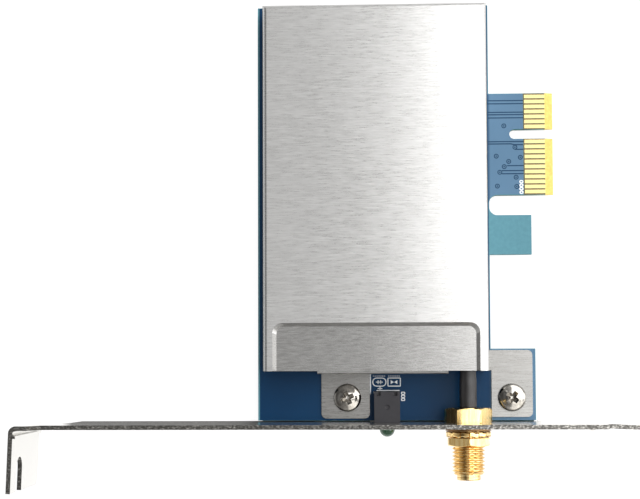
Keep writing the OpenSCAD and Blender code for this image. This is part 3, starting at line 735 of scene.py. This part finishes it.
# The copper keeps off the board's edges: round the fillet by the lower hook, and round the key notch.
fillet_r = TAB_FILLET_R + EDGE_GAP
fillet_at = (MAIN_EDGE + TAB_FILLET_R, TAB_MARGINS[0] - TAB_FILLET_R)
fillet = []
for k in range(NOTCH_STEPS + 1):
    angle = math.pi / 2 * k / NOTCH_STEPS
    fillet.append((fillet_at[0] - fillet_r * math.cos(angle), fillet_at[1] + fillet_r * math.sin(angle)))
copper_left, copper_right = board_left + LEFT_GAP, MAIN_EDGE - EDGE_GAP
copper_front, copper_rear = board_front + FRONT_GAP, board_rear - EDGE_GAP
by_fingers = finger_start - FINGER_GAP
pour_outline = [
    (copper_left, copper_front), (LOBE_TIP - EDGE_GAP, copper_front), (LOBE_TIP - EDGE_GAP, LOBE_REAR - EDGE_GAP),
    (copper_right, LOBE_REAR - EDGE_GAP), *fillet, (by_fingers, TAB_MARGINS[0] + EDGE_GAP),
    (by_fingers, -KEY_NOTCH[0][1]), *((x, -y) for x, y in KEY_NOTCH), *reversed(KEY_NOTCH[:-1]),
    (by_fingers, KEY_NOTCH[0][1]), (by_fingers, TAB_MARGINS[1] - EDGE_GAP),
    (copper_right, TAB_MARGINS[1] - EDGE_GAP), (copper_right, copper_rear), (copper_left, copper_rear),
]
pour = Shape()
pour.prism(pour_outline, front_z, front_z + POUR)
pour.finish("front_copper_pour", [pour_look])

gaps = Shape()
gap_z = raised(front_z, 1, 0.006)
via_z = raised(front_z, 1, 0.009)
finger_side = finger_start - 0.3
trace_start = MAIN_EDGE - 0.3
for y in (6.72, 6.1, 4.38, 3.9, 3.26, -1.5):
    gaps.stroke((trace_start, y), (finger_side, y), TRACE_GAP, *gap_z)
gaps.stroke((trace_start, -1.95), (-8.3, -1.95), TRACE_GAP, *gap_z)
gaps.path([(-8.3, -1.95), (-7.6, -2.13), (finger_side, -2.13)], TRACE_GAP, *gap_z)
for x, y in ((-7.4, -3.06), (-9.0, -6.31), (-10.05, -7.3), (-10.05, -7.92)):
    gaps.stroke((x, y), (finger_side, y), TRACE_GAP, *gap_z)
via_places = [
    (-9.66, 1.66), (-7.5, -2.63), (-11.22, -4.39), (-6.45, -4.66), (-8.76, -5.47), (-9.66, -6.5),
    (-10.54, -7.61), (-7.33, -8.62), (-11.05, -10.37), (-7.21, -10.48),
]
for place in via_places:
    gaps.annulus(place, 0.30, 0.48, *via_z)
    gaps.annulus(place, 0.02, 0.15, *via_z)
gaps.finish("front_copper_gaps", [gap_look])

back_pour = Shape()
back_pour.prism(pour_outline, back_z, back_z - POUR)
back_pour.finish("back_copper_pour", [pour_look])

# The underside can't be seen in the photo: its traces and holes are a plain guess.
VIA_SPACING = 2.3
VIA_COUNT = 110
back_gaps = Shape()
back_gap_z = raised(back_z, -1, 0.006)
for k, y in enumerate((7.1, 6.3, 5.0, 4.2, 2.9, -2.0, -3.6, -4.4, -6.0, -6.8, -9.1, -9.9)):
    reach = -22 - 1.3 * (k % 5)
    bend = reach - 2.5
    slope = 2.5 if k < 6 else -2.5
    route = [(finger_side, y), (reach, y), (bend, y + slope), (bend - 9, y + slope)]
    back_gaps.path(route, THIN_GAP, *back_gap_z)
for k in range(7):
    x = -54 + 2.1 * k
    back_gaps.path([(x, 18), (x, 2 - k), (x + 4, -2 - k), (x + 4, -20 - 0.8 * k)], THIN_GAP, *back_gap_z)
back_vias = []
for _ in range(900):
    place = (rng.uniform(board_left + 2, MAIN_EDGE - 1.5), rng.uniform(-44, board_rear - 2))
    if all((place[0] - x) ** 2 + (place[1] - y) ** 2 > VIA_SPACING ** 2 for x, y in back_vias):
        back_vias.append(place)
back_vias = back_vias[:VIA_COUNT]
for place in back_vias:
    back_gaps.annulus(place, 0.26, 0.38, *back_gap_z, sides=20)
back_gaps.finish("back_copper_gaps", [gap_look])

tips = Shape()
pad_z = raised(back_z, -1, 0.02)
for place in back_vias[::4]:
    tips.annulus(place, 0.03, 0.2, *pad_z, sides=20)
for k in range(8):
    tips.rounded((-52 + 2.6 * k, -31), (-50.4 + 2.6 * k, -29.4), 0.3, *pad_z)
tips.finish("back_tinned_pads", [tin_look])


# --- White printed outlines ---

# Generic outlines and bars only: no lettering.
INK = 0.18
INK_RISE = 0.014
ink_z = raised(front_z, 1, INK_RISE)
ink = Shape()
ink.stroke((-36.46, -47.5), (-36.46, -51.5), 0.2, *ink_z)
ink.stroke((-46.0, -47.9), (-36.5, -47.9), 0.14, *ink_z)


def outline_box(shape, left, right, front, rear, r, width, heights):
    shape.path(round_corners((left, front), (right, rear), r, 4), width, *heights, closed=True)


outline_box(ink, -36.0, -33.4, -49.95, -48.35, 0.75, INK, ink_z)
outline_box(ink, -33.0, -30.55, -49.95, -48.35, 0.12, INK, ink_z)
for start, end, width in (
    ((-35.3, -49.15), (-34.1, -49.15), INK), ((-34.95, -49.45), (-34.95, -48.85), INK),
    ((-34.45, -49.45), (-34.45, -48.85), INK), ((-34.95, -50.42), (-34.2, -50.42), 0.2),
    ((-34.58, -50.75), (-34.58, -50.1), 0.2), ((-35.2, -50.8), (-30.8, -50.8), INK),
):
    ink.stroke(start, end, width, *ink_z)
ink.prism([(-32.45, -49.55), (-31.85, -49.15), (-32.45, -48.75)], *ink_z)
ink.prism([(-31.15, -48.75), (-31.75, -49.15), (-31.15, -49.55)], *ink_z)
ink.path([(-35.75, -50.95), (-35.75, -51.4)], INK, *ink_z)
for k in range(3):
    y = -51.15 - 0.62 * k
    outline_box(ink, -30.35, -29.7, y - 0.42, y, 0.14, 0.15, ink_z)
for start, step in ((-35.9, 0.36), (-32.9, 0.34)):
    for k in range(7):
        x = start + step * k
        ink.stroke((x, -47.95), (x + 0.15, -47.95), 0.13, *ink_z)
for k in range(4):
    y = -9.3 - 0.7 * k
    outline_box(ink, -6.6, -6.0, y - 0.46, y, 0.2, 0.2, ink_z)
ink.finish("front_white_print", [print_look])

back_ink = Shape()
back_ink_z = raised(back_z, -1, INK_RISE)
for left, right, front, rear, r in (
    (-42.0, -30.0, -12.0, 0.0, 0.3), (-53.0, -29.5, -32.0, -28.4, 0.3), (-27.0, -19.0, 10.0, 16.0, 0.3),
    (lamp.x - 2.6, lamp.x + 2.6, -53.4, -50.2, 0.2),
):
    outline_box(back_ink, left, right, front, rear, r, INK, back_ink_z)
back_ink.stroke((-44.2, 1.0), (-43.4, 1.0), 0.3, *back_ink_z)
back_ink.finish("back_white_print", [print_look])


# --- Antenna jack ---

THREAD_PITCH = 0.7056
THREAD_MAJOR = 3.175
THREAD_MINOR = 2.76
THREAD_STEPS = 12
NECK_R = 2.9
NOSE_R = 2.3
BORE_R = 2.05
RIM = 0.12
SIDES = 96
HEX_APOTHEM = 4.0


def around(radius_at, y):
    """Points round the jack's axis, at a radius that depends on the angle."""
    return [
        (port.x + radius_at(a) * math.sin(a), y, port.z + radius_at(a) * math.cos(a))
        for a in (2 * math.pi * i / SIDES for i in range(SIDES))
    ]


def thread_radius(angle, y):
    """Radius of the screw thread's surface, which fades out at its outer end."""
    phase = (y / THREAD_PITCH + angle / (2 * math.pi)) % 1.0
    rise = min(max((abs(2 * phase - 1) - 0.2) / 0.62, 0.0), 1.0)
    run_in = min(max((y - thread_end) / 0.55, 0.0), 1.0)
    crest = THREAD_MINOR + (THREAD_MAJOR - THREAD_MINOR) * (0.12 + 0.88 * run_in)
    return min(THREAD_MINOR + (THREAD_MAJOR - THREAD_MINOR) * rise, crest)


jack = Shape()
bore_to_nose = (
    (BORE_R, cavity_end + 0.05), (BORE_R, nose_end + RIM), (BORE_R + 0.08, nose_end), (NOSE_R - 0.1, nose_end),
    (NOSE_R, nose_end + RIM), (NOSE_R, thread_end - 0.02),
)
rings = [jack.ring(around(lambda a: r, y)) for r, y in bore_to_nose]
thread_step = THREAD_PITCH / THREAD_STEPS
for k in range(int((outer_face - 0.05 - thread_end) / thread_step) + 1):
    y = thread_end + k * thread_step
    rings.append(jack.ring(around(lambda a: thread_radius(a, y), y)))
for y in (outer_face, inner_face + 0.3):
    rings.append(jack.ring(around(lambda a: NECK_R, y)))
for first, second in zip(rings, rings[1:]):
    jack.bridge(first, second)
jack.bm.faces.new(list(reversed(rings[0])))
jack.bm.faces.new(rings[-1])


def hex_ring(shape, y, radius_cap):
    """Points around the hexagon, cut back to a circle, for a turned chamfer."""
    points = []
    for i in range(SIDES):
        a = 2 * math.pi * i / SIDES
        within = (a + math.pi / 6) % (math.pi / 3) - math.pi / 6
        r = min(HEX_APOTHEM / math.cos(within), radius_cap)
        points.append((port.x + r * math.sin(a), y, port.z + r * math.cos(a)))
    return shape.ring(points)


hex_profile = (
    (inner_face, 4.35), (inner_face + 0.22, 4.61), (hex_rear - 0.34, 4.61), (hex_rear - 0.17, 4.33), (hex_rear, 3.98),
)
hexagon = [hex_ring(jack, y, cap) for y, cap in hex_profile]
for first, second in zip(hexagon, hexagon[1:]):
    jack.bridge(first, second, False)
jack.bm.faces.new(list(reversed(hexagon[0])))
jack.bm.faces.new(hexagon[-1])
for face in jack.bm.faces:
    if face.calc_center_median().y > inner_face * MM:
        face.material_index = 1
jack_piece = jack.finish(
    "antenna_jack", [turned_look, gold_look], replaces=["antenna_connector"]
)
jack_piece.data.set_sharp_from_angle(angle=math.radians(32))


# --- Lock washer with twisted teeth ---

LOCK_TEETH = 15
LOCK_SIDES = 240
LOCK_BORE_R = 3.3
LOCK_BAND_R = 3.6
LOCK_TWIST = 0.12
LOCK_SLOT = 0.18
LOCK_ROUND = 0.14
lock_low, lock_high = low("lock_washer").y, high("lock_washer").y
lock_r = (high("lock_washer").x - low("lock_washer").x) / 2
middle, half = (lock_low + lock_high) / 2, (lock_high - lock_low) / 2 - 0.2
lock = Shape()
lock_rings = []
for i in range(LOCK_SIDES):
    a = 2 * math.pi * i / LOCK_SIDES
    phase = (i * LOCK_TEETH / LOCK_SIDES) % 1.0
    twist = LOCK_TWIST * math.sin(2 * math.pi * phase)
    reach = lock_r if 0.06 < phase < 0.94 else lock_r - LOCK_SLOT
    ring = []
    for r, t in (
        (LOCK_BORE_R, -half), (reach - 0.12, -half), (reach, -half + LOCK_ROUND), (reach, half - LOCK_ROUND),
        (reach - 0.12, half), (LOCK_BORE_R, half),
    ):
        lift = twist * max(0.0, (r - LOCK_BAND_R) / (lock_r - LOCK_BAND_R))
        ring.append((port.x + r * math.sin(a), middle + t + lift, port.z + r * math.cos(a)))
    lock_rings.append(lock.ring(ring))
for first, second in zip(lock_rings, lock_rings[1:] + lock_rings[:1]):
    lock.bridge(first, second)
lock_piece = lock.finish("jack_lock_washer", [turned_look], "washers", ["lock_washer"])
lock_piece.data.set_sharp_from_angle(angle=math.radians(35))


# --- Heat-shrink sleeve ---

SLEEVE_R = 1.665
SLEEVE_SHRINK = 0.10
SLEEVE_BORE_R = 1.26
SLEEVE_STEPS = 60
sleeve_low, sleeve_high = low("heat_shrink_sleeve").y, high("heat_shrink_sleeve").y


def sleeve_radius(angle, y):
    """The sleeve narrows past the ferrule, and it is slightly wrinkled."""
    base = SLEEVE_R - SLEEVE_SHRINK * min(max((y - (sleeve_low + 5.2)) / 0.8, 0.0), 1.0)
    wrinkle = noise.noise(Vector((math.cos(angle) * 1.3, y * 0.55, math.sin(angle) * 1.3)))
    ripple = noise.noise(Vector((math.cos(angle) * 3.1, y * 2.4, math.sin(angle) * 3.1 + 7)))
    return base + 0.028 * wrinkle + 0.010 * ripple


sleeve = Shape()
inside = ((SLEEVE_BORE_R, sleeve_high), (SLEEVE_BORE_R, sleeve_low), (1.52, sleeve_low))
rings = [sleeve.ring(around(lambda a: r, y)) for r, y in inside]
for k in range(SLEEVE_STEPS + 1):
    y = sleeve_low + 0.08 + (sleeve_high - sleeve_low - 0.16) * k / SLEEVE_STEPS
    rings.append(sleeve.ring(around(lambda a: sleeve_radius(a, y), y)))
rings.append(sleeve.ring(around(lambda a: 1.45, sleeve_high)))
for first, second in zip(rings, rings[1:] + rings[:1]):
    sleeve.bridge(first, second)
sleeve_piece = sleeve.finish("jack_sleeve", [sleeve_look], replaces=["heat_shrink_sleeve"])
sleeve_piece.data.set_sharp_from_angle(angle=math.radians(50))


# --- Screws ---

HEAD_R, HEAD_SIDE_H, HEAD_ROUND = 2.74, 0.62, 0.75
CROWN_R, CROWN_H = 1.99, 0.594
SHANK_R, SHANK_ROOT, SHANK_PITCH = 1.49, 1.22, 0.5
LATHE_SIDES = 72
# Half lengths and half widths of the cross at its mouth and at its foot, and how far these lie from the top
CROSS = ((1.72, 0.56, 0.2), (0.34, 0.12, -1.5))


def lathe(shape, centre, profile):
    """Closed solid of (radius, z) points turned about a vertical axis, from the bottom to the top."""
    angles = [2 * math.pi * i / LATHE_SIDES for i in range(LATHE_SIDES)]
    rings = [
        shape.ring([(centre.x + r * math.cos(a), centre.y + r * math.sin(a), z) for a in angles]) for r, z in profile
    ]
    for first, second in zip(rings, rings[1:]):
        shape.bridge(first, second)
    shape.bm.faces.new(list(reversed(rings[0])))
    shape.bm.faces.new(rings[-1])


def screw_profile(foot, top):
    profile = [(SHANK_ROOT - 0.25, foot)]
    z = foot + 0.2
    while z < screw_seat - 0.5:
        profile += [(SHANK_ROOT, z), (SHANK_R, z + 0.16), (SHANK_R, z + 0.22), (SHANK_ROOT, z + 0.4)]
        z += SHANK_PITCH
    side_top = screw_seat + HEAD_SIDE_H
    profile += [(SHANK_ROOT, screw_seat - 0.1), (SHANK_R + 0.01, screw_seat), (HEAD_R - 0.12, screw_seat)]
    profile += [(HEAD_R, screw_seat + 0.1), (HEAD_R, side_top)]
    for k in range(1, 9):
        a = math.radians(90 * k / 9)
        profile.append((HEAD_R - HEAD_ROUND * (1 - math.cos(a)), side_top + HEAD_SIDE_H * math.sin(a)))
    for k in range(1, 7):
        r = CROWN_R * (1 - k / 7)
        profile.append((r, top - CROWN_H * (r / CROWN_R) ** 2))
    return profile


def cross_cutter(name, centre, top, turned):
    """Two tapered blades at right angles, which cut the driver's recess."""
    cutter = Shape()
    for base in (0, 90):
        spin = Matrix.Rotation(math.radians(base + turned), 2)
        corners = []
        for reach, wide, rise in CROSS:
            flats = [spin @ Vector((x * reach, y * wide)) for x, y in ((-1, -1), (1, -1), (1, 1), (-1, 1))]
            corners.append(cutter.ring([(centre.x + flat.x, centre.y + flat.y, top + rise) for flat in flats]))
        cutter.bridge(corners[1], corners[0], False)
        cutter.bm.faces.new(list(reversed(corners[1])))
        cutter.bm.faces.new(corners[0])
    bmesh.ops.recalc_face_normals(cutter.bm, faces=cutter.bm.faces)
    mesh = bpy.data.meshes.new(name)
    cutter.bm.to_mesh(mesh)
    cutter.bm.free()
    cut = bpy.data.objects.new(name, mesh)
    scene.collection.objects.link(cut)
    return cut


def screw_piece(name, node, body, centre, turned):
    shape = Shape()
    top = high(node).z
    lathe(shape, centre, screw_profile(low(node).z, top))
    piece = shape.finish(name, [screw_look], body, [node])
    cut = cross_cutter(name + "_cut", centre, top, turned)
    boolean = piece.modifiers.new("recess", "BOOLEAN")
    boolean.operation = "DIFFERENCE"
    boolean.solver = "EXACT"
    boolean.use_self = True
    boolean.object = cut
    soft = piece.modifiers.new("soft", "BEVEL")
    soft.width = 0.07 * MM
    soft.segments = 2
    soft.limit_method = "ANGLE"
    soft.angle_limit = math.radians(38)
    applied(piece)
    bpy.data.objects.remove(cut)
    shade(piece, 35)


screw_piece("left_screw_steel", "left_screw", "screw_left", left_screw_at, 24)
screw_piece("right_screw_steel", "right_screw", "screw_right", right_screw_at, 52)
